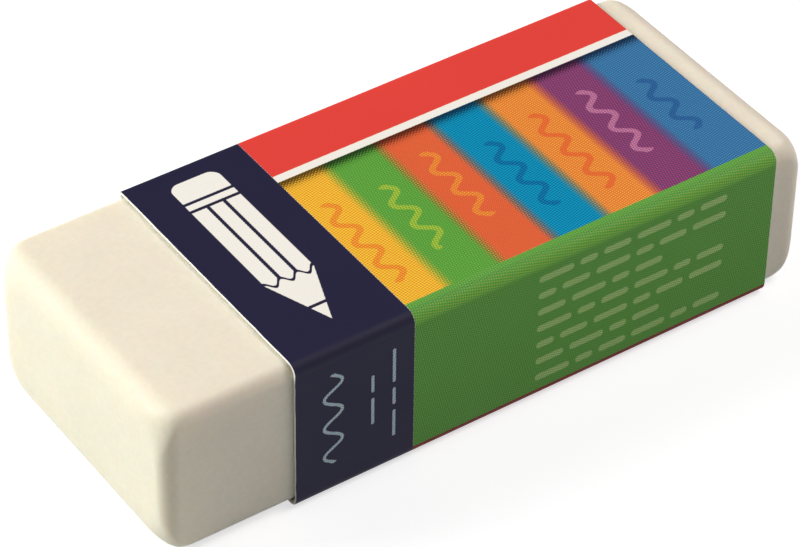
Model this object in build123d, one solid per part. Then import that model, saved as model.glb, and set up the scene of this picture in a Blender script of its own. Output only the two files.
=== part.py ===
from build123d import *
import math
import os

# Pencil eraser: a soft vinyl block that slides in a folded and glued card sleeve.
# Lengths in millimetres. +X runs along the block from the bare end, +Z is up, the lap seam faces +Y.

# Vinyl block
block_length = 55.55
block_width = 22.38
block_height = 12.7
front_edge_radius = 1.1
back_edge_radius = 0.5

# Rounded ends of the block: the upright and the level edges, and the corners between them
end_side_radius = 1.3
end_top_radius = 1.8
end_corner_radius = 2.5
end_corner_depth = 2.5
end_corner_limit_share = 0.45
end_section_count = 11

# Card sleeve
card_thickness = 0.25
sleeve_length = 41.9
bare_end_length = 10.45
front_fold_inner_radius = 0.65
back_fold_inner_radius = 0.15

# Glued lap on the back panel
flap_height = 8.0
flap_clearance = 0.3
joggle_run = 1.0
joggle_radius = 0.4
lap_edge_height = 0.7

# Sliding fit of the block in the sleeve
side_clearance = 0.06
top_clearance = 0.08
bottom_clearance = 0.02

# Outside of the sleeve
sleeve_width = block_width + 2 * (side_clearance + card_thickness)
sleeve_height = block_height + top_clearance + bottom_clearance + 2 * card_thickness
overall_width = sleeve_width + card_thickness
front_y = -overall_width / 2
back_y = front_y + sleeve_width
lap_y = back_y + card_thickness
middle_y = (front_y + back_y) / 2

# Places along the block
bare_end_x = -block_length / 2
far_end_x = block_length / 2
end_depth = max(end_side_radius, end_top_radius, end_corner_depth)
sleeve_start_x = bare_end_x + bare_end_length
block_middle_z = card_thickness + bottom_clearance + block_height / 2


def rounded_inset(depth, radius):
    """How far a rounded edge of this radius stands back at this depth behind the end face."""
    rise = max(radius - depth, 0)
    return radius - math.sqrt(radius**2 - rise**2)


def block_section(x, depth):
    """Rounded section of the block at x, which lies at this depth behind the end face."""
    width = block_width - 2 * rounded_inset(depth, end_side_radius)
    height = block_height - 2 * rounded_inset(depth, end_top_radius)
    corner_fade = max(1 - depth / end_corner_depth, 0) ** 2
    section = Rectangle(width, height)
    for side, edge_radius in ((0, front_edge_radius), (-1, back_edge_radius)):
        radius = edge_radius + (end_corner_radius - edge_radius) * corner_fade
        corners = section.vertices().group_by(Axis.X)[side]
        section = fillet(corners, min(radius, end_corner_limit_share * height))
    return Plane((x, middle_y, block_middle_z), Vector(0, 1, 0), Vector(1, 0, 0)) * section


def block_end(end_x, inward):
    """Rounded end of the block, lofted through sections that lie closest together at the end face."""
    sections = []
    for step in range(end_section_count):
        angle = math.pi / 2 * step / (end_section_count - 1)
        depth = end_depth * (1 - math.cos(angle))
        sections.append(block_section(end_x + inward * depth, depth))
    return loft(sections)


def make_block():
    """Vinyl block: a straight bar with soft long edges between two rounded ends."""
    bar_start_x = bare_end_x + end_depth
    bar_length = block_length - 2 * end_depth
    bar = extrude(block_section(bar_start_x, end_depth), bar_length, dir=(1, 0, 0))
    return block_end(bare_end_x, 1) + bar + block_end(far_end_x, -1)


def card_edge(outer_y, z):
    """Level cut through an upright card panel whose outer face is at outer_y."""
    middle_x = sleeve_start_x + sleeve_length / 2
    return Pos(middle_x, outer_y - card_thickness / 2, z) * Rectangle(sleeve_length, card_thickness)


def make_sleeve():
    """Card sleeve: one strip folded round the block, its back panel lapped over a glue flap."""
    front_fold_radius = front_fold_inner_radius + card_thickness
    back_fold_radius = back_fold_inner_radius + card_thickness
    lap_top_z = flap_height + flap_clearance
    joggle_top_z = lap_top_z + 2 * joggle_run
    outer_face = [
        (back_y, flap_height),
        (back_y, 0),
        (front_y, 0),
        (front_y, sleeve_height),
        (back_y, sleeve_height),
        (back_y, joggle_top_z),
        (lap_y, joggle_top_z - joggle_run),
        (lap_y, lap_top_z),
    ]
    fold_radii = [
        back_fold_radius,
        front_fold_radius,
        front_fold_radius,
        back_fold_radius,
        joggle_radius,
        joggle_radius + card_thickness,
    ]
    wrap = sweep(card_edge(back_y, flap_height), path=Plane.YZ * FilletPolyline(outer_face, radius=fold_radii))
    lap = extrude(card_edge(lap_y, lap_top_z), lap_top_z - lap_edge_height, dir=(0, 0, -1))
    return wrap + lap


os.makedirs("parts", exist_ok=True)
export_step(make_block(), "parts/eraser_block.step")
export_step(make_sleeve(), "parts/card_sleeve.step")
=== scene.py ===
"""Looks of a pencil eraser: a soft white vinyl block that slides in a printed card sleeve.

Everything is in metres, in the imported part's own frame: +X runs along the block from its long bare end,
+Z is up and the sleeve's glued lap faces +Y. Sizes that a maker would quote are given in millimetres.
"""

import logging
import math
from dataclasses import dataclass
from enum import Enum
from functools import cache
from itertools import accumulate
from typing import Iterable, Sequence, Union

import bmesh
import bpy
from bmesh.types import BMesh, BMFace, BMVert
from bpy.types import Material, Node, NodeSocket, NodeTree, Object
from mathutils import Matrix, Vector, noise

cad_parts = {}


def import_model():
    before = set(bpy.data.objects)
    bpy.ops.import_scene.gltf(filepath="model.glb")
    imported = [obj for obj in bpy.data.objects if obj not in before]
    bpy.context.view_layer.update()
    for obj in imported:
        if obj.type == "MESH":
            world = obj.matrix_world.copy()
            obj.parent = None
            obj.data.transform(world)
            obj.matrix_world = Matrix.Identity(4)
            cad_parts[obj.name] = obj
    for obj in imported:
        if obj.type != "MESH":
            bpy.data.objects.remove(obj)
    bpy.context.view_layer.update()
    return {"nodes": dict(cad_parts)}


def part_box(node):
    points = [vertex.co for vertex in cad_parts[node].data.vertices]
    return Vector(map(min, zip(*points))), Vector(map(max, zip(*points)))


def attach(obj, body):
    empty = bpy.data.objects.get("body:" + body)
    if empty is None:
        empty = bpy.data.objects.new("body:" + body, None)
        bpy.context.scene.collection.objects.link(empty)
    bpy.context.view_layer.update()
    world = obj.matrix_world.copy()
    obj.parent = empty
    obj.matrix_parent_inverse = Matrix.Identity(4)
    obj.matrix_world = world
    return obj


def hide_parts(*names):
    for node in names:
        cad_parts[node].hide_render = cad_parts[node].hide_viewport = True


LOG = logging.getLogger("eraser")
MM = 0.001
Colour = tuple[float, float, float]
Place = tuple[float, float, float]
Ring = list[Vector]

# Print, in millimetres: half the blur of a printed edge, and the lengths of the dashes in a row
CRISP = 0.05
DASHES = (3.6, 2.1, 3.0)


# Node helpers


@dataclass(frozen=True)
class Signal:
    """A number that changes over a surface, so that node arithmetic reads as a formula."""

    sheet: "NodeSheet"
    socket: NodeSocket

    def __add__(self, other: "Number") -> "Signal":
        """Sum of the two."""
        return self.sheet.math("ADD", self, other)

    def __sub__(self, other: "Number") -> "Signal":
        """First less second."""
        return self.sheet.math("SUBTRACT", self, other)

    def __mul__(self, other: "Number") -> "Signal":
        """Product of the two."""
        return self.sheet.math("MULTIPLY", self, other)

    def __truediv__(self, other: "Number") -> "Signal":
        """First divided by second."""
        return self.sheet.math("DIVIDE", self, other)

    def __abs__(self) -> "Signal":
        """Size without sign."""
        return self.sheet.math("ABSOLUTE", self)

    def floor(self) -> "Signal":
        """Next whole number down."""
        return self.sheet.math("FLOOR", self)

    def sine(self) -> "Signal":
        """Sine of an angle in radians."""
        return self.sheet.math("SINE", self)

    def cosine(self) -> "Signal":
        """Cosine of an angle in radians."""
        return self.sheet.math("COSINE", self)

    def above(self, other: "Number") -> "Signal":
        """Hard mask that is 1 where this is larger."""
        return self.sheet.math("GREATER_THAN", self, other)

    def root(self) -> "Signal":
        """Square root."""
        return self.sheet.math("SQRT", self)

    def wrapped(self, period: float) -> "Signal":
        """Remainder within a period, never negative."""
        return self.sheet.math("FLOORED_MODULO", self, period)

    def least(self, other: "Number") -> "Signal":
        """Smaller of the two."""
        return self.sheet.math("MINIMUM", self, other)

    def most(self, other: "Number") -> "Signal":
        """Larger of the two."""
        return self.sheet.math("MAXIMUM", self, other)

    def inverse(self) -> "Signal":
        """One less this, which turns a mask round."""
        return self.sheet.math("SUBTRACT", 1.0, self)

    def rising(self, edge: "Number", soft: float = CRISP) -> "Signal":
        """Mask that goes from 0 to 1 across an edge, which is soft by that much on each side."""
        return self.sheet.ramp_up(self - edge, -soft, soft)

    def within(self, low: "Number", high: "Number", soft: float = CRISP) -> "Signal":
        """Mask that is 1 between two edges, which are soft by that much on each side."""
        return self.rising(low, soft) * self.rising(high, soft).inverse()


Number = Union[float, Signal]
Paint = Union[Colour, NodeSocket]


@dataclass(frozen=True)
class NodeSheet:
    """A node tree with short calls for the nodes that the finishes need."""

    tree: NodeTree

    def node(self, kind: str, **settings: object) -> Node:
        """Adds a node.

        Args:
            kind: Blender's name for the node type.
            **settings: Properties of the node to set.

        Returns:
            The new node.
        """
        made = self.tree.nodes.new(kind)
        for name, value in settings.items():
            setattr(made, name, value)
        return made

    def feed(self, socket: NodeSocket, value: object) -> None:
        """Links a signal or socket to an input, or sets the input to a plain value.

        Args:
            socket: Input to feed.
            value: Signal, output socket, number, colour or vector.
        """
        source = value.socket if isinstance(value, Signal) else value
        if isinstance(source, NodeSocket):
            self.tree.links.new(source, socket)
        elif socket.type == "RGBA" and len(source) == 3:
            socket.default_value = (*source, 1.0)
        else:
            socket.default_value = source

    def fed(self, made: Node, **inputs: object) -> Node:
        """Feeds a node's inputs by name, with an underscore for each space, and gives the node back."""
        for name, value in inputs.items():
            self.feed(made.inputs[name.replace("_", " ")], value)
        return made

    def math(self, operation: str, *values: Number) -> Signal:
        """Adds a math node and feeds it.

        Args:
            operation: Blender's name for the operation.
            *values: Its operands.

        Returns:
            The result.
        """
        made = self.node("ShaderNodeMath", operation=operation)
        for socket, value in zip(made.inputs, values):
            self.feed(socket, value)
        return Signal(self, made.outputs[0])

    def ramp_up(self, value: Signal, low: float, high: float) -> Signal:
        """Smooth step from 0 at low to 1 at high."""
        made = self.node("ShaderNodeMapRange", interpolation_type="SMOOTHSTEP")
        return Signal(self, self.fed(made, Value=value, From_Min=low, From_Max=high).outputs["Result"])

    def mix(self, share: Number, first: Paint, second: Paint, blend: str = "MIX") -> NodeSocket:
        """Mixes two colours.

        Args:
            share: How much of the second colour shows, from 0 to 1.
            first: Colour underneath.
            second: Colour on top.
            blend: Blender's name for the blend mode.

        Returns:
            The mixed colour.
        """
        made = self.node("ShaderNodeMix", data_type="RGBA", blend_type=blend)
        self.feed(made.inputs["Factor"], share)
        colours = [socket for socket in made.inputs if socket.type == "RGBA"]
        self.feed(colours[0], first)
        self.feed(colours[1], second)
        return next(socket for socket in made.outputs if socket.type == "RGBA")

    def axes(self, vector: NodeSocket) -> list[Signal]:
        """Splits a vector into its three parts."""
        made = self.fed(self.node("ShaderNodeSeparateXYZ"), Vector=vector)
        return [Signal(self, socket) for socket in made.outputs]

    def group(self, tree: NodeTree, **inputs: object) -> Node:
        """Places a node group and feeds its inputs by name."""
        return self.fed(self.node("ShaderNodeGroup", node_tree=tree), **inputs)


def new_group(
    name: str, inputs: Sequence[str], outputs: Sequence[str]
) -> tuple[NodeSheet, list[Signal], list[NodeSocket]]:
    """Starts a node group whose sockets are all numbers.

    Args:
        name: Name of the group.
        inputs: Names of its inputs.
        outputs: Names of its outputs.

    Returns:
        The group's sheet, its inputs as signals and its inner output sockets.
    """
    tree = bpy.data.node_groups.new(name, "ShaderNodeTree")
    for side, names in (("INPUT", inputs), ("OUTPUT", outputs)):
        for socket_name in names:
            tree.interface.new_socket(socket_name, in_out=side, socket_type="NodeSocketFloat")
    sheet = NodeSheet(tree)
    inlet, outlet = sheet.node("NodeGroupInput"), sheet.node("NodeGroupOutput")
    given = [Signal(sheet, inlet.outputs[socket_name]) for socket_name in inputs]
    return sheet, given, [outlet.inputs[socket_name] for socket_name in outputs]


# Shared effects, each made once


@cache
def mottle_group() -> NodeTree:
    """Builds the cloudy and grainy variation that every surface here carries.

    Returns:
        A group that puts out a tone near 1, a gloss tone near 1 and a height from 0 to 1.
    """
    sheet, (cloud_size, grain_size, tone_spread), (tone, gloss, height) = new_group(
        "SurfaceMottle", ("Cloud Size", "Grain Size", "Tone Spread"), ("Tone", "Gloss Tone", "Height")
    )
    place = sheet.node("ShaderNodeTexCoord").outputs["Object"]
    noise_middle, cloud_detail, grain_detail, gloss_spread = 0.5, 3.0, 2.0, 0.35

    def cloud(size: Signal, detail: float) -> Signal:
        """Noise about zero with features of a size."""
        made = sheet.fed(
            sheet.node("ShaderNodeTexNoise"),
            Vector=place,
            Scale=sheet.math("DIVIDE", 1.0, size),
            Detail=detail,
        )
        return Signal(sheet, made.outputs["Fac"]) - noise_middle

    clouds, grain = cloud(cloud_size, cloud_detail), cloud(grain_size, grain_detail)
    sheet.feed(tone, (clouds + grain) * tone_spread + 1.0)
    sheet.feed(gloss, clouds * gloss_spread + 1.0)
    sheet.feed(height, grain + noise_middle)
    return sheet.tree


@cache
def halftone_group() -> NodeTree:
    """Builds the dot screen of an offset print, whose dots grow with the share of ink.

    Returns:
        A group that puts out where the ink lies.
    """
    sheet, (along, across, pitch, angle, share), (ink,) = new_group(
        "HalftoneScreen", ("Along", "Across", "Pitch", "Angle", "Share"), ("Ink",)
    )
    first = (along * angle.cosine() + across * angle.sine()) / pitch * math.tau
    second = (across * angle.cosine() - along * angle.sine()) / pitch * math.tau
    wave = (first.cosine() + second.cosine() + 2.0) / 4.0
    spread, crispness = 0.32, 0.6
    edge = share.inverse() * (1 + 2 * spread) - spread
    sheet.feed(ink, wave.rising(edge, spread) * crispness + share * (1 - crispness))
    return sheet.tree


@cache
def wave_group() -> NodeTree:
    """Builds a wavy pen stroke with round ends.

    Returns:
        A group that puts out where the stroke lies.
    """
    sheet, (along, across, start, end, length, height, stroke), (mask,) = new_group(
        "WavyStroke", ("Along", "Across", "Start", "End", "Wave Length", "Wave Height", "Stroke"), ("Mask",)
    )
    nearest = along.most(start).least(end)
    phase = (nearest - start) / length * math.tau
    steepness = phase.cosine() * height / length * math.tau
    beside = (across - phase.sine() * height) / (steepness * steepness + 1.0).root()
    beyond = along - nearest
    distance = (beside * beside + beyond * beyond).root()
    sheet.feed(mask, distance.rising(stroke / 2).inverse())
    return sheet.tree


@cache
def dash_group() -> NodeTree:
    """Builds a row of round-ended dashes of three lengths.

    Returns:
        A group that puts out where the dashes lie.
    """
    sheet, (along, across, start, end, shift, stroke), (mask,) = new_group(
        "DashRow", ("Along", "Across", "Start", "End", "Shift", "Stroke"), ("Mask",)
    )
    gap = 0.55
    from_start = along - start
    place = (from_start + shift).wrapped(sum(DASHES))
    last = along - place
    from_last, following = place, last + DASHES[0]
    for done, length in zip(accumulate(DASHES), DASHES[1:]):
        passed = place.above(done)
        from_last = from_last.least((place - done) * passed + passed.inverse() * sum(DASHES))
        following = following + passed * length
    from_break = from_last.least(following - along)
    radius = stroke / 2
    beyond = (radius + gap / 2 - from_break).most(0.0)
    distance = (beyond * beyond + across * across).root()
    whole = from_start.above(0.0) * following.above(end).inverse()
    sheet.feed(mask, distance.rising(radius).inverse() * whole)
    return sheet.tree


def surface_of(material: Material) -> tuple[NodeSheet, Node]:
    """Node sheet and surface shader of a material."""
    shader = next(node for node in material.node_tree.nodes if node.type == "BSDF_PRINCIPLED")
    return NodeSheet(material.node_tree), shader


# Finishes


@dataclass(frozen=True, kw_only=True)
class PlainFinish:
    """A surface of one colour with cloudy and grainy variation."""

    name: str
    colour: Colour
    roughness: float
    cloud_size: float
    grain_size: float
    tone_spread: float
    relief: float
    relief_share: float
    specular: float = 0.5
    subsurface: float = 0.0
    subsurface_depth: float = 0.0
    subsurface_tint: Colour = (1.0, 0.7, 0.45)

    def material(self) -> Material:
        """Makes the material.

        Returns:
            The material.
        """
        material = bpy.data.materials.new(self.name)
        material.use_nodes = True
        sheet, shader = surface_of(material)
        mottle = sheet.group(
            mottle_group(),
            Cloud_Size=self.cloud_size,
            Grain_Size=self.grain_size,
            Tone_Spread=self.tone_spread,
        )
        tone, gloss, height = (Signal(sheet, socket) for socket in mottle.outputs)
        bump = sheet.node("ShaderNodeBump")
        sheet.fed(bump, Strength=self.relief_share, Distance=self.relief, Height=height)
        sheet.fed(
            shader,
            Base_Color=sheet.mix(1.0, self.colour, tone.socket, "MULTIPLY"),
            Roughness=gloss * self.roughness,
            Normal=bump.outputs["Normal"],
            Specular_IOR_Level=self.specular,
            Subsurface_Weight=self.subsurface,
            Subsurface_Scale=self.subsurface_depth,
            Subsurface_Radius=self.subsurface_tint,
        )
        return material


@dataclass(frozen=True, kw_only=True)
class FloorFinish(PlainFinish):
    """A pale floor that looks almost white without throwing all its light back at the object."""

    glow: float
    mirrored_share: float
    glow_colour: Colour = (1.0, 1.0, 1.0)

    def material(self) -> Material:
        """Makes the material, which glows to the camera and in mirrors alone.

        Returns:
            The material.
        """
        material = super().material()
        sheet, shader = surface_of(material)
        path = sheet.node("ShaderNodeLightPath")
        seen, mirrored = (Signal(sheet, path.outputs[name]) for name in ("Is Camera Ray", "Is Glossy Ray"))
        strength = seen.most(mirrored * self.mirrored_share) * self.glow
        sheet.fed(shader, Emission_Color=self.glow_colour, Emission_Strength=strength)
        return material


class ProcessInk(Enum):
    """Printing inks: the light that a solid layer lets through, and the turn of its dot screen in degrees."""

    CYAN = ((0.001, 0.50, 0.78), 15.0)
    MAGENTA = ((0.84, 0.07, 0.38), 75.0)
    YELLOW = ((0.99, 0.92, 0.045), 0.0)
    NAVY = ((0.019, 0.018, 0.058), 45.0)


@dataclass(frozen=True)
class Inking:
    """Share of each ink: cyan, magenta and yellow as one colour, with navy beside them."""

    bright: Paint
    navy: Number = 0.0


class StripeInk(Enum):
    """Colour stripes of the print in order, each with its field and its mark."""

    YELLOW = (Inking((0.0, 0.49, 0.96)), Inking((0.0, 0.63, 0.96)))
    GREEN = (Inking((0.78, 0.33, 0.90)), Inking((0.60, 0.24, 0.93)))
    ORANGE = (Inking((0.11, 0.82, 0.84), 0.04), Inking((0.04, 0.67, 0.90)))
    CYAN = (Inking((1.0, 0.48, 0.0)), Inking((1.0, 0.60, 0.0), 0.15))
    AMBER = (Inking((0.03, 0.65, 0.885)), Inking((0.06, 0.78, 0.90)))
    PURPLE = (Inking((0.62, 0.935, 0.445), 0.16), Inking((0.46, 0.73, 0.28)))
    BLUE = (Inking((0.89, 0.60, 0.0)), Inking((0.93, 0.69, 0.0), 0.12))


@dataclass(frozen=True)
class PrintLayout:
    """Places on the flat printed sheet, in millimetres.

    Along runs from the sleeve's near edge. Across runs round the sleeve from the top panel's back fold.
    The same layout is printed twice, once for the top and front and once for the underside and back.
    """

    sheet_length: float
    repeat: float
    top_width: float
    shift: float = 0.8
    navy_length: float = 9.9
    stripe_start: float = 9.02
    stripe_pitch: float = 4.6
    stripe_blur: float = 0.55
    # Painted shade: width of the darker red strip where the red band starts, on the underside's front fold
    painted_shade_edge: float = 0.8
    edge_band: float = 5.6
    key_line: float = 0.75
    key_shadow: float = 1.6
    green_lead: float = 1.1
    crease_before: float = 0.2
    crease_after: float = 0.75
    crease_blur: float = 0.25
    dot_pitch: float = 0.2

    @property
    def front_fold(self) -> float:
        """Place across of the fold between the top and the front."""
        return self.top_width + self.shift

    @property
    def line_end(self) -> float:
        """Place across where the white line beside the red band ends."""
        return self.edge_band + self.key_line


@dataclass(frozen=True)
class Press:
    """Where the print is being laid: its node sheet, its layout and the place on the card."""

    sheet: NodeSheet
    layout: PrintLayout
    along: Signal
    across: Signal

    def laid(self, mask: Signal, under: Inking, over: Inking) -> Inking:
        """Prints one inking over another where a mask lies."""
        bright = self.sheet.mix(mask, under.bright, over.bright)
        return Inking(bright, mask * over.navy + mask.inverse() * under.navy)

    def mark(self, tree: NodeTree, **inputs: Number) -> Signal:
        """Places a group that draws a mark, and puts out where it lies."""
        return Signal(self.sheet, self.sheet.group(tree, **inputs).outputs["Mask"])

    def crease(self, fold: float, after: float) -> Signal:
        """Band from just before a fold to some way after it, where the print takes a painted highlight and
        slight wear.
        """
        start, end = fold - self.layout.crease_before, fold + after
        return self.across.within(start, end, self.layout.crease_blur)


@dataclass(frozen=True)
class PencilMark:
    """A plain pencil drawn as a white shape, in millimetres across the sheet."""

    end: float = 2.5
    collar: float = 5.6
    shoulder: float = 15.4
    lead: float = 19.0
    point: float = 20.8
    half: float = 2.05
    line: float = 0.3
    round_end: float = 0.9
    scallop: float = 0.32

    def mask(self, beside: Signal, across: Signal) -> Signal:
        """Draws the pencil.

        Args:
            beside: Distance from its middle line.
            across: Place along it.

        Returns:
            Where the white lies.
        """
        off = abs(beside)
        facet = 2 * self.half / 3
        body = off.rising(self.half).inverse()
        past_side = (off - (self.half - self.round_end)).most(0.0)
        past_end = (across * -1.0 + (self.end + self.round_end)).most(0.0)
        rubber = (past_side * past_side + past_end * past_end).root().rising(self.round_end).inverse()
        rubber = rubber * body * across.rising(self.collar - 3 * self.line).inverse()
        ferrule = body * across.within(self.collar - 2 * self.line, self.collar)
        paint_edge = (beside * (math.tau / facet)).cosine() * self.scallop + self.shoulder
        grooves = abs(off - facet / 2).rising(self.line / 2)
        shaft = body * grooves * across.within(self.collar + self.line, paint_edge)
        taper = (across - self.point) * (self.half / (self.shoulder - self.point))
        cone = off.rising(taper).inverse() * across.rising(paint_edge + self.line)
        cone = cone * abs(across - self.lead).rising(self.line / 2)
        return rubber + ferrule + shaft + cone


@dataclass(frozen=True)
class Wander:
    """A measure that differs from one row to the next, in millimetres."""

    middle: float
    spread: float
    turn: float
    phase: float = 0.0

    def at(self, row: Signal) -> Signal:
        """The measure in the row of a number."""
        return (row * self.turn + self.phase).sine() * self.spread + self.middle


@dataclass(frozen=True)
class StripeMarks:
    """A wavy stroke on each stripe, in millimetres."""

    start: Wander = Wander(10.4, 0.9, 2.4)
    end: Wander = Wander(18.8, 1.2, 1.7, math.pi / 2)
    wave_length: float = 2.7
    wave_height: float = 0.6
    stroke: float = 0.5

    def mask(self, press: Press) -> Signal:
        """Draws the strokes.

        Args:
            press: Where the print is being laid.

        Returns:
            Where the strokes lie.
        """
        pitch = press.layout.stripe_pitch
        from_first = press.along - press.layout.stripe_start
        number = (from_first / pitch).floor()
        return press.mark(
            wave_group(),
            Along=press.across,
            Across=from_first.wrapped(pitch) - pitch / 2,
            Start=self.start.at(number),
            End=self.end.at(number),
            Wave_Length=self.wave_length,
            Wave_Height=self.wave_height,
            Stroke=self.stroke,
        )


@dataclass(frozen=True)
class SideRows:
    """Rows of dashes on the green side, in millimetres, each starting with the next dash of the three."""

    count: int = 7
    pitch: float = 1.55
    below_fold: float = 1.0
    start: float = 20.3
    end: Wander = Wander(37.0, 2.2, 2.1, 0.4)
    stroke: float = 0.6

    def mask(self, press: Press) -> Signal:
        """Draws the rows.

        Args:
            press: Where the print is being laid.

        Returns:
            Where the dashes lie.
        """
        first = press.layout.front_fold + self.below_fold
        row = ((press.across - first) / self.pitch).floor()
        turn = row.wrapped(len(DASHES))
        dashes = press.mark(
            dash_group(),
            Along=press.along,
            Across=(press.across - first).wrapped(self.pitch) - self.pitch / 2,
            Start=self.start,
            End=self.end.at(row),
            Shift=turn.above(0.5) * DASHES[0] + turn.above(1.5) * DASHES[1],
            Stroke=self.stroke,
        )
        return dashes * press.across.within(first, first + self.count * self.pitch)


@dataclass(frozen=True)
class DarkSideMarks:
    """A thin wavy line and rows of thin dashes on the side of the navy band, in millimetres.

    Each row has its place along the sheet, its start and end below the fold and the shift of its dashes.
    """

    wave_place: float = 3.1
    wave_start: float = 2.0
    wave_end: float = 10.1
    wave_length: float = 2.7
    wave_height: float = 0.75
    rows: tuple[tuple[float, ...], ...] = ((6.4, 3.4, 8.6, DASHES[0]), (8.2, 1.8, 10.6, 0.0))
    stroke: float = 0.24

    def masks(self, press: Press) -> list[Signal]:
        """Draws the line and the rows.

        Args:
            press: Where the print is being laid.

        Returns:
            Where each of them lies.
        """
        below = press.across - press.layout.front_fold
        wave = press.mark(
            wave_group(),
            Along=below,
            Across=press.along - self.wave_place,
            Start=self.wave_start,
            End=self.wave_end,
            Wave_Length=self.wave_length,
            Wave_Height=self.wave_height,
            Stroke=self.stroke,
        )
        drawn = [wave]
        for place, start, end, shift in self.rows:
            span = {"Along": below, "Across": press.along - place, "Start": start, "End": end}
            drawn.append(press.mark(dash_group(), Shift=shift, Stroke=self.stroke, **span))
        return drawn


@dataclass(frozen=True, kw_only=True)
class PrintFinish(PlainFinish):
    """Offset print on thin coated card: stripes, a dark band and a green side, with plain generic marks."""

    layout: PrintLayout
    uv_name: str
    uv_scale: float
    name: str = "printed_card"
    colour: Colour = (0.95, 0.89, 0.79)
    roughness: float = 0.55
    cloud_size: float = 9 * MM
    grain_size: float = 0.12 * MM
    tone_spread: float = 0.05
    relief: float = 0.01 * MM
    relief_share: float = 0.25
    specular: float = 0.17
    stripe_marks: StripeMarks = StripeMarks()
    side_rows: SideRows = SideRows()
    dark_marks: DarkSideMarks = DarkSideMarks()
    pencil: PencilMark = PencilMark()
    navy: Inking = Inking((0.0, 0.0, 0.0), 1.0)
    red: Inking = Inking((0.0, 1.0, 0.80), 0.04)
    # Painted shade: red darkened with navy for the strip that rounds the underside's front fold, which faces
    # the floor
    painted_shade_red: Inking = Inking((0.0, 0.97, 0.80), 0.62)
    bare: Inking = Inking((0.10, 0.0, 0.0))
    pale: Inking = Inking((0.50, 0.18, 0.0), 0.07)
    green: Inking = Inking((0.76, 0.33, 0.865))
    # Painted highlight: a paler green over the front fold, where more light falls
    green_painted_highlight: Inking = Inking((0.70, 0.06, 0.88))
    green_mark: Inking = Inking((0.56, 0.0, 0.67))
    overlap: float = 1.8
    shadow_share: float = 0.8
    # Slight ink wear on the folds together with a painted sheen: the folds drift towards the paler bare card
    crease_wear_and_sheen: float = 0.01

    def material(self) -> Material:
        """Makes the material, with the inks laid over the colour of the bare card.

        Returns:
            The material.
        """
        material = super().material()
        sheet, shader = surface_of(material)
        lay, card = self.layout, shader.inputs["Base Color"].links[0].from_socket
        uv = sheet.node("ShaderNodeUVMap", uv_map=self.uv_name)
        flat_along, flat_across, _ = sheet.axes(uv.outputs["UV"])
        across = (flat_across * self.uv_scale + lay.shift).wrapped(lay.repeat)
        press = Press(sheet, lay, flat_along * self.uv_scale, across)
        inking = self._stripes(press)
        for mask, over in self._layers(press):
            inking = press.laid(mask, inking, over)
        printed = self._overprinted(press, inking, card)
        # The folds pale towards the bare card: slight ink wear and a painted sheen
        creases = press.crease(lay.front_fold, lay.crease_after) + press.crease(lay.shift, lay.crease_before)
        sheet.feed(shader.inputs["Base Color"], sheet.mix(creases * self.crease_wear_and_sheen, printed, card))
        return material

    def _ramp(self, press: Press, inkings: Sequence[Inking]) -> Inking:
        """Lays one inking after another along the sheet, as a ramp whose alpha is the navy ink.

        Args:
            press: Where the print is being laid.
            inkings: The inkings, one for each stripe.

        Returns:
            The inking of them all.
        """
        lay = self.layout
        ramp = press.sheet.node("ShaderNodeValToRGB")
        press.sheet.feed(ramp.inputs["Fac"], press.along / lay.sheet_length)
        stops = ramp.color_ramp.elements
        for index, inking in enumerate(inkings):
            start = lay.stripe_start + index * lay.stripe_pitch
            for number, edge in enumerate((lay.stripe_blur, lay.stripe_pitch - lay.stripe_blur)):
                position = (start + edge) / lay.sheet_length
                stop = stops[number] if index == 0 else stops.new(position)
                stop.position = position
                shares = (share ** self.overlap for share in inking.bright)
                stop.color = (*shares, inking.navy)
        spread = press.sheet.node("ShaderNodeGamma")
        press.sheet.fed(spread, Color=ramp.outputs["Color"], Gamma=1 / self.overlap)
        return Inking(spread.outputs["Color"], Signal(press.sheet, ramp.outputs["Alpha"]))

    def _stripes(self, press: Press) -> Inking:
        """Lays the stripes with their marks, and the soft shadow that the white line throws on them.

        Args:
            press: Where the print is being laid.

        Returns:
            The inking.
        """
        lay = self.layout
        fields, marks = (self._ramp(press, inkings) for inkings in zip(*(ink.value for ink in StripeInk)))
        striped = press.laid(self.stripe_marks.mask(press), fields, marks)
        shadow = press.sheet.ramp_up(press.across, lay.line_end + lay.key_shadow, lay.line_end)
        return Inking(striped.bright, striped.navy.most(shadow * self.shadow_share))

    def _layers(self, press: Press) -> list[tuple[Signal, Inking]]:
        """Lists what is laid over the stripes: a red band whose outer strip is darkened as painted shade, a
        green side whose front fold is lightened as a painted highlight, and a navy band, with their marks.

        Args:
            press: Where the print is being laid.

        Returns:
            Where each layer lies and its inks, from the lowest to the highest.
        """
        lay, along, across = self.layout, press.along, press.across
        return [
            (across.rising(lay.line_end).inverse(), self.bare),
            (across.rising(lay.edge_band).inverse(), self.red),
            # painted shade: darker red along the fold under the sleeve
            (across.rising(lay.painted_shade_edge).inverse(), self.painted_shade_red),
            (across.rising(lay.front_fold - lay.green_lead), self.green),
            # painted highlight: paler green on the front fold
            (press.crease(lay.front_fold, lay.crease_after), self.green_painted_highlight),
            (self.side_rows.mask(press), self.green_mark),
            (along.rising(lay.navy_length).inverse(), self.navy),
            (self.pencil.mask(along - lay.navy_length / 2, across), self.bare),
            *((mark, self.pale) for mark in self.dark_marks.masks(press)),
        ]

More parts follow.
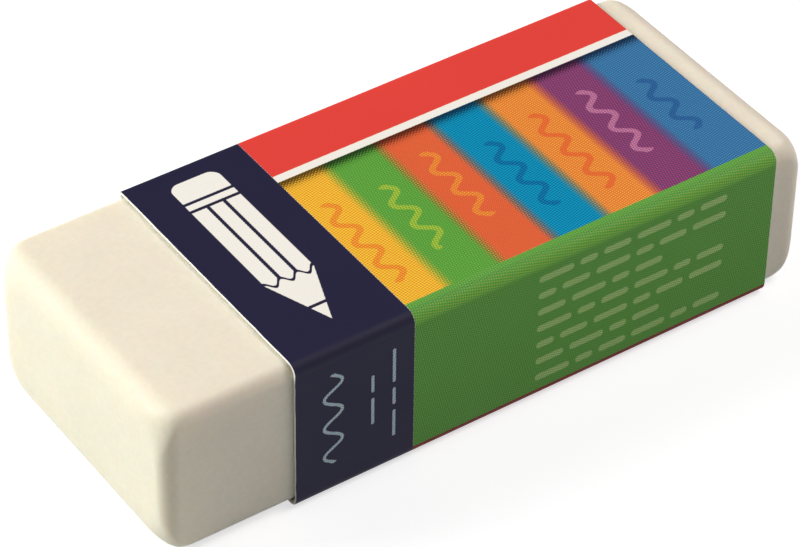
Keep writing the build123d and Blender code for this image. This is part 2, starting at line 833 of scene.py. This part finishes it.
    def _overprinted(self, press: Press, inking: Inking, card: NodeSocket) -> NodeSocket:
        """Lays each ink on the card through its own dot screen.

        Args:
            press: Where the print is being laid.
            inking: Share of each ink.
            card: Colour of the bare card.

        Returns:
            The colour of the print.
        """
        colour, clear = card, (1.0, 1.0, 1.0)
        shares = (*press.sheet.axes(inking.bright), inking.navy)
        for process, share in zip(ProcessInk, shares):
            light, turn_deg = process.value
            screen = press.sheet.group(
                halftone_group(),
                Along=press.along,
                Across=press.across,
                Pitch=self.layout.dot_pitch,
                Angle=math.radians(turn_deg),
                Share=share,
            )
            layer = press.sheet.mix(Signal(press.sheet, screen.outputs["Ink"]), clear, light)
            colour = press.sheet.mix(1.0, colour, layer, "MULTIPLY")
        return colour


VINYL = PlainFinish(
    name="white_vinyl",
    colour=(0.8714, 0.7913, 0.6308),
    roughness=0.58,
    cloud_size=6 * MM,
    grain_size=0.4 * MM,
    tone_spread=0.10,
    relief=0.03 * MM,
    relief_share=0.4,
    specular=0.35,
    subsurface=0.45,
    subsurface_depth=1.6 * MM,
)
RAW_CARD = PlainFinish(
    name="raw_card",
    colour=(0.9560, 0.9387, 0.8963),
    roughness=0.85,
    cloud_size=3 * MM,
    grain_size=0.08 * MM,
    tone_spread=0.10,
    relief=0.02 * MM,
    relief_share=0.5,
)
FLOOR = FloorFinish(
    name="pale_floor",
    colour=(0.555, 0.575, 0.565),
    roughness=0.9,
    cloud_size=60 * MM,
    grain_size=0.6 * MM,
    tone_spread=0.004,
    relief=0.01 * MM,
    relief_share=0.1,
    glow=0.65,
    mirrored_share=0.9,
)


# Meshes


@dataclass(frozen=True)
class Box:
    """Lowest and highest corner of a node at rest."""

    low: Vector
    high: Vector

    @classmethod
    def of(cls, node: str) -> "Box":
        """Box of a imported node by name."""
        low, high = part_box(node)
        return cls(Vector(low), Vector(high))

    @property
    def size(self) -> Vector:
        """Length, width and height."""
        return self.high - self.low

    @property
    def middle(self) -> Vector:
        """Middle of the box."""
        return (self.low + self.high) / 2


def placed(name: str, data: bpy.types.ID) -> Object:
    """Puts data into the scene as an object.

    Args:
        name: Name of the object.
        data: Its mesh, lamp or camera.

    Returns:
        The object.
    """
    made = bpy.data.objects.new(name, data)
    bpy.context.scene.collection.objects.link(made)
    return made


def finish_object(name: str, mesh: BMesh, materials: Iterable[Material], crisp_deg: float = 30.0) -> Object:
    """Turns a built mesh into a smooth shaded object.

    Args:
        name: Name of the piece.
        mesh: Its mesh, which is freed.
        materials: Its materials in slot order.
        crisp_deg: Edges that turn by more than this many degrees stay crisp.

    Returns:
        The object, linked to the scene.
    """
    limit = math.radians(crisp_deg)
    for face in mesh.faces:
        face.smooth = True
    for edge in mesh.edges:
        edge.smooth = not edge.is_manifold or edge.calc_face_angle() < limit
    data = bpy.data.meshes.new(name)
    mesh.to_mesh(data)
    mesh.free()
    for material in materials:
        data.materials.append(material)
    return placed(name, data)


def bridge(mesh: BMesh, first: Sequence[BMVert], second: Sequence[BMVert]) -> list[BMFace]:
    """Joins two closed rings of as many vertices with quads."""
    quads = zip(first, [*first[1:], first[0]], [*second[1:], second[0]], second)
    return [mesh.faces.new(quad) for quad in quads]


@dataclass
class EraserBlock:
    """The soft vinyl bar, with small long edges, rounder ends and a slightly uneven skin."""

    box: Box
    front_edge_radius: float = 1.1 * MM
    back_edge_radius: float = 0.5 * MM
    end_side_radius: float = 1.3 * MM
    end_top_radius: float = 1.8 * MM
    end_corner_radius: float = 2.5 * MM
    end_corner_depth: float = 2.5 * MM
    end_rings: int = 24
    bar_rings: int = 96
    cap_rings: int = 9
    corner_points: int = 10
    wide_points: int = 34
    tall_points: int = 18
    swell_depth: float = 0.035 * MM
    swell_size: float = 8 * MM
    pit_depth: float = 0.012 * MM
    pit_size: float = 1.6 * MM
    crisp_deg: float = 40.0

    @property
    def end_depth(self) -> float:
        """How deep the rounding of an end runs."""
        return max(self.end_side_radius, self.end_top_radius, self.end_corner_depth)

    @staticmethod
    def _inset(depth: float, radius: float) -> float:
        """How far a rounded edge of a radius stands back at a depth behind the end face."""
        return radius - math.sqrt(radius**2 - max(radius - depth, 0.0) ** 2)

    def _ring(self, x: float, depth: float) -> Ring:
        """Points of one section.

        Args:
            x: Place of the section along the block.
            depth: How far it lies behind the end face.

        Returns:
            The points, in order round the section.
        """
        half_y = self.box.size.y / 2 - self._inset(depth, self.end_side_radius)
        half_z = self.box.size.z / 2 - self._inset(depth, self.end_top_radius)
        fade = max(1 - depth / self.end_corner_depth, 0.0) ** 2
        edges = (self.back_edge_radius, self.front_edge_radius)
        back, front = (edge + (self.end_corner_radius - edge) * fade for edge in edges)
        middle = self.box.middle
        points: Ring = []
        for quarter in range(4):
            turn = quarter * math.pi / 2
            side_y = 1 if quarter in (0, 3) else -1
            side_z = 1 if quarter in (0, 1) else -1
            radius = back if side_y > 0 else front
            hub = Vector((x, middle.y + side_y * (half_y - radius), middle.z + side_z * (half_z - radius)))
            for step in range(self.corner_points + 1):
                angle = turn + math.pi / 2 * step / self.corner_points
                points.append(hub + Vector((0, math.cos(angle), math.sin(angle))) * radius)
            straight = self.wide_points if quarter % 2 == 0 else self.tall_points
            reach = 2 * half_y - front - back if quarter % 2 == 0 else 2 * (half_z - radius)
            heading = Vector((0, math.cos(turn + math.pi), math.sin(turn + math.pi)))
            for step in range(1, straight):
                points.append(points[-1] + heading * (reach / straight))
        return points

    def _sections(self) -> list[Ring]:
        """Lays the sections from one end face to the other.

        Returns:
            Their rings of points.
        """
        near, far = self.box.low.x, self.box.high.x
        turns = [math.pi / 2 * step / self.end_rings for step in range(self.end_rings + 1)]
        depths = [self.end_depth * (1 - math.cos(turn)) for turn in turns]
        bar_length = self.box.size.x - 2 * self.end_depth
        bar = [self.end_depth + bar_length * step / self.bar_rings for step in range(1, self.bar_rings)]
        rings = [self._ring(near + depth, depth) for depth in depths]
        rings += [self._ring(near + place, self.end_depth) for place in bar]
        rings += [self._ring(far - depth, depth) for depth in reversed(depths)]
        return rings

    def _cap(self, mesh: BMesh, rim: Sequence[BMVert], flip: bool) -> None:
        """Closes an end with shrinking rings.

        Args:
            mesh: Mesh of the block.
            rim: Vertices of the end's rim.
            flip: Whether the faces turn the other way.
        """
        hub = sum((vertex.co for vertex in rim), Vector()) / len(rim)
        outer = list(rim)
        for step in range(1, self.cap_rings):
            share = 1 - step / self.cap_rings
            inner = [mesh.verts.new(hub + (vertex.co - hub) * share) for vertex in rim]
            bridge(mesh, *((inner, outer) if flip else (outer, inner)))
            outer = inner
        centre = mesh.verts.new(hub)
        for vertex, ahead in zip(outer, [*outer[1:], outer[0]]):
            mesh.faces.new((centre, ahead, vertex) if flip else (vertex, ahead, centre))

    def _unevenness(self, place: Vector) -> float:
        """How far the skin lies below the true form at a place, in metres."""
        waves = ((self.swell_depth, self.swell_size), (self.pit_depth, self.pit_size))
        return sum(depth * (noise.noise(place / size) + 1) / 2 for depth, size in waves)

    def build(self) -> Object:
        """Makes the block.

        Returns:
            The block, riding on its body.
        """
        mesh = bmesh.new()
        rings = [[mesh.verts.new(point) for point in ring] for ring in self._sections()]
        for first, second in zip(rings, rings[1:]):
            bridge(mesh, first, second)
        self._cap(mesh, rings[0], True)
        self._cap(mesh, rings[-1], False)
        bmesh.ops.recalc_face_normals(mesh, faces=mesh.faces)
        mesh.normal_update()
        shifts = [vertex.normal * -self._unevenness(vertex.co) for vertex in mesh.verts]
        for vertex, shift in zip(mesh.verts, shifts):
            vertex.co += shift
        block = finish_object("vinyl_block", mesh, [VINYL.material()], self.crisp_deg)
        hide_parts("eraser_block")
        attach(block, "block")
        return block


class CardFace(Enum):
    """Material slots of the card."""

    PRINTED = 0
    RAW = 1


@dataclass(frozen=True)
class PathPoint:
    """One point of the card's outer face in section, the way out from it and the length walked so far."""

    place: Vector
    out: Vector
    run: float


@dataclass
class CardSleeve:
    """One strip of printed card, folded round the block and glued to itself on the back."""

    box: Box
    thickness: float = 0.25 * MM
    front_fold: float = 0.9 * MM
    back_fold: float = 0.4 * MM
    flap_height: float = 8.0 * MM
    flap_clearance: float = 0.3 * MM
    joggle_run: float = 1.0 * MM
    joggle_radius: float = 0.4 * MM
    lap_edge_height: float = 0.7 * MM
    glue_line: float = 0.01 * MM
    cut_round: float = 0.03 * MM
    fold_points: int = 10
    panel_step: float = 0.6 * MM
    length_rings: int = 70
    ripple_depth: float = 0.02 * MM
    ripple_size: float = 9 * MM
    cut_wander: float = 0.03 * MM
    facing_down: float = -0.5
    uv_name: str = "PrintSheet"
    uv_scale: float = 100.0

    def _corners(self) -> list[Place]:
        """Places the corners of the outer face in section.

        Returns:
            Y, Z and the radius of the fold at each corner, with none at the two ends.
        """
        low, high = self.box.low, self.box.high
        back = high.y - self.thickness
        lap = high.y + self.glue_line
        joggle_top = low.z + self.flap_height + self.flap_clearance + 2 * self.joggle_run
        return [
            (back, low.z + self.flap_height, 0.0),
            (back, low.z, self.back_fold),
            (low.y, low.z, self.front_fold),
            (low.y, high.z, self.front_fold),
            (back, high.z, self.back_fold),
            (back, joggle_top, self.joggle_radius),
            (lap, joggle_top - self.joggle_run, self.joggle_radius + self.thickness),
            (lap, low.z + self.lap_edge_height, 0.0),
        ]

    def _path(self) -> list[PathPoint]:
        """Walks the outer face from the flap's edge to the lap's edge.

        Returns:
            Points with outward directions and the length walked so far.
        """
        corners = self._corners()
        spots = [Vector((y, z)) for y, z, _ in corners]
        path: list[PathPoint] = []

        def add(place: Vector, heading: Vector) -> None:
            """Adds a point that the card passes in a heading."""
            spot, out = Vector((0, *place)), Vector((0, -heading.y, heading.x))
            path.append(PathPoint(spot, out, path[-1].run + (spot - path[-1].place).length if path else 0.0))

        def walk(start: Vector, end: Vector) -> None:
            """Adds the points of a flat panel.

            Args:
                start: Where it starts.
                end: Where it ends.
            """
            heading = (end - start).normalized()
            steps = max(2, round((end - start).length / self.panel_step))
            for step in range(steps + 1):
                add(start.lerp(end, step / steps), heading)

        start = spots[0]
        for before, corner, after, (_, _, radius) in zip(spots, spots[1:], spots[2:], corners[1:]):
            inward = (corner - before).normalized()
            onward = (after - corner).normalized()
            turn = inward.angle_signed(onward)
            setback = radius * math.tan(abs(turn) / 2)
            walk(start, corner - inward * setback)
            side = 1 if turn > 0 else -1
            hub = corner - inward * setback + Vector((inward.y, -inward.x)) * radius * side
            for step in range(1, self.fold_points):
                heading = inward.copy()
                heading.rotate(Matrix.Rotation(-turn * step / self.fold_points, 2))
                add(hub - Vector((heading.y, -heading.x)) * radius * side, heading)
            start = corner + onward * setback
        walk(start, spots[-1])
        return path

    def _print_start(self, path: Sequence[PathPoint]) -> float:
        """Length walked to the middle of the top panel's back fold, in metres."""
        folds = [p for p in path if p.place.z > self.box.middle.z and p.out.y > 0 and p.out.z > 0]
        return min(folds, key=lambda p: abs(p.out.y - p.out.z)).run

    def layout(self) -> PrintLayout:
        """Works out the flat sheet from the folded sleeve.

        Returns:
            Its layout.
        """
        size = self.box.size
        width = size.y - self.thickness
        saved = (2 - math.pi / 2) * (self.front_fold + self.back_fold)
        half_round = (width + size.z - saved) / MM
        top = (width - saved / 2) / MM
        return PrintLayout(sheet_length=size.x / MM, repeat=half_round, top_width=top)

    def _ripple(self, point: PathPoint, x: float) -> float:
        """How far the card stands off its true panel at a place, in metres; the underside lies flat."""
        place = (point.place + Vector((x, 0, 0))) / self.ripple_size
        return 0.0 if point.out.z < self.facing_down else self.ripple_depth * noise.noise(place)

    def _stations(self) -> list[tuple[float, float]]:
        """Spaces the rings along the sleeve.

        Returns:
            The place of each, and how far the faces draw in there at a cut edge.
        """
        low, high = self.box.low.x, self.box.high.x
        start, end = low + self.cut_round, high - self.cut_round
        pitch = (end - start) / self.length_rings
        inner = [(start + pitch * step, 0.0) for step in range(self.length_rings + 1)]
        return [(low, self.cut_round), *inner, (high, self.cut_round)]

    def _rings(self, mesh: BMesh, path: Sequence[PathPoint]) -> list[list[BMVert]]:
        """Adds the card's vertices.

        Args:
            mesh: Mesh of the sleeve.
            path: The outer face in section.

        Returns:
            A ring for each place along the sleeve, out along the outer face and back along the inner one.
        """
        rings = []
        for x, draw in self._stations():
            outer, inner = [], []
            for point in path:
                wander = self.cut_wander * noise.noise(Vector((point.run / MM, x / MM, 0.0))) if draw else 0.0
                stand = self._ripple(point, x)
                place = point.place + Vector((x + wander, 0, 0))
                outer.append(mesh.verts.new(place + point.out * (stand - draw)))
                inner.append(mesh.verts.new(place + point.out * (stand - self.thickness + draw)))
            rings.append(outer + inner[::-1])
        return rings

    def build(self) -> Object:
        """Makes the sleeve.

        Returns:
            The sleeve, riding on its body.
        """
        path = self._path()
        count = len(path)
        mesh = bmesh.new()
        sheet_uv = mesh.loops.layers.uv.new(self.uv_name)
        rings = self._rings(mesh, path)
        zero = self._print_start(path)
        places = [x - self.box.low.x for x, _ in self._stations()]
        for first_x, second_x, first, second in zip(places, places[1:], rings, rings[1:]):
            for index, face in enumerate(bridge(mesh, first, second)):
                printed = index < count - 1
                face.material_index = (CardFace.PRINTED if printed else CardFace.RAW).value
                if printed:
                    run, next_run = path[index].run, path[index + 1].run
                    flat = ((first_x, run), (first_x, next_run), (second_x, next_run), (second_x, run))
                    for loop, (x, walked) in zip(face.loops, flat):
                        loop[sheet_uv].uv = Vector((x, zero - walked)) / MM / self.uv_scale
        for ring, flip in ((rings[0], True), (rings[-1], False)):
            for index in range(count - 1):
                quad = (ring[index], ring[index + 1], ring[-2 - index], ring[-1 - index])
                face = mesh.faces.new(quad[::-1] if flip else quad)
                face.material_index = CardFace.RAW.value
        bmesh.ops.recalc_face_normals(mesh, faces=mesh.faces)
        finish = PrintFinish(layout=self.layout(), uv_name=self.uv_name, uv_scale=self.uv_scale)
        materials = [finish.material(), RAW_CARD.material()]
        sleeve = finish_object("folded_card_sleeve", mesh, materials)
        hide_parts("card_sleeve")
        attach(sleeve, "sleeve")
        return sleeve


# Studio


@dataclass(frozen=True)
class Softbox:
    """A square soft lamp that faces the eraser, in metres and watts."""

    name: str
    place: Place
    side: float
    power: float
    colour: Colour

    def build(self, aim: Vector) -> None:
        """Makes the lamp.

        Args:
            aim: Point that it faces.
        """
        data = bpy.data.lights.new(self.name, "AREA")
        data.size = self.side
        data.energy = self.power
        data.color = self.colour
        lamp = placed(self.name, data)
        lamp.location = self.place
        lamp.rotation_euler = (aim - lamp.location).to_track_quat("-Z", "Y").to_euler()


LAMPS = (
    Softbox("key", (-0.40, 0.335, 0.27), 0.35, 4.2, (0.96, 1.0, 0.98)),
    Softbox("right", (0.315, -0.139, 0.529), 0.35, 2.3, (1.05, 0.97, 1.0)),
    Softbox("fill", (0.05, -0.50, 0.20), 0.4, 0.18, (0.50, 0.74, 1.0)),
)


@dataclass
class Studio:
    """Camera at the photograph's angle, soft light and a plain pale floor."""

    aim_mm: Place = (-0.805, -0.26, 5.84)
    azimuth_deg: float = -35.02
    elevation_deg: float = 40.545
    roll_deg: float = 0.83
    distance: float = 272.5 * MM
    lens: float = 168.2
    sensor: float = 36.0
    clip_start: float = 10 * MM
    floor_reach: float = 3.0
    floor_segments: int = 8
    floor_drop: float = 0.02 * MM
    sky: Colour = (1.0, 1.0, 1.0)
    sky_strength: float = 0.03
    backdrop: float = 1.0

    @property
    def aim(self) -> Vector:
        """Point that the camera and the lamps face."""
        return Vector(self.aim_mm) * MM

    def _camera(self) -> None:
        """Places the camera."""
        azimuth, elevation = math.radians(self.azimuth_deg), math.radians(self.elevation_deg)
        level = math.cos(elevation)
        back = Vector((math.sin(azimuth) * level, -math.cos(azimuth) * level, math.sin(elevation)))
        data = bpy.data.cameras.new("camera")
        data.lens = self.lens
        data.sensor_width = self.sensor
        data.clip_start = self.clip_start
        camera = placed("camera", data)
        turn = (-back).to_track_quat("-Z", "Y").to_matrix()
        turn = turn @ Matrix.Rotation(math.radians(self.roll_deg), 3, "Z")
        camera.matrix_world = Matrix.Translation(self.aim + back * self.distance) @ turn.to_4x4()
        bpy.context.scene.camera = camera

    def _floor(self) -> None:
        """Lays the floor."""
        mesh = bmesh.new()
        segments = self.floor_segments
        bmesh.ops.create_grid(mesh, x_segments=segments, y_segments=segments, size=self.floor_reach)
        floor = finish_object("floor", mesh, [FLOOR.material()])
        floor.location.z = -self.floor_drop

    def _sky(self) -> None:
        """Sets the even light from all round."""
        world = bpy.data.worlds.new("studio")
        world.use_nodes = True
        sky = next(node for node in world.node_tree.nodes if node.type == "BACKGROUND")
        sheet = NodeSheet(world.node_tree)
        seen = Signal(sheet, sheet.node("ShaderNodeLightPath").outputs["Is Camera Ray"])
        strength = seen * (self.backdrop - self.sky_strength) + self.sky_strength
        sheet.fed(sky, Color=self.sky, Strength=strength)
        bpy.context.scene.world = world

    def build(self) -> None:
        """Makes the whole studio."""
        for lamp in LAMPS:
            lamp.build(self.aim)
        self._camera()
        self._floor()
        self._sky()
        bpy.context.scene.view_settings.view_transform = "Standard"


def main() -> None:
    """Builds the eraser and its studio, and logs the imported nodes and the face count of each piece."""
    logging.basicConfig(level=logging.INFO, format="%(name)s: %(message)s")
    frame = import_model()
    LOG.info("frame: %s", ", ".join(frame["nodes"]))
    for assembly in (EraserBlock(Box.of("eraser_block")), CardSleeve(Box.of("card_sleeve"))):
        piece = assembly.build()
        LOG.info("%s: %d faces", piece.name, len(piece.data.polygons))
    Studio().build()


if __name__ == "__main__":
    main()
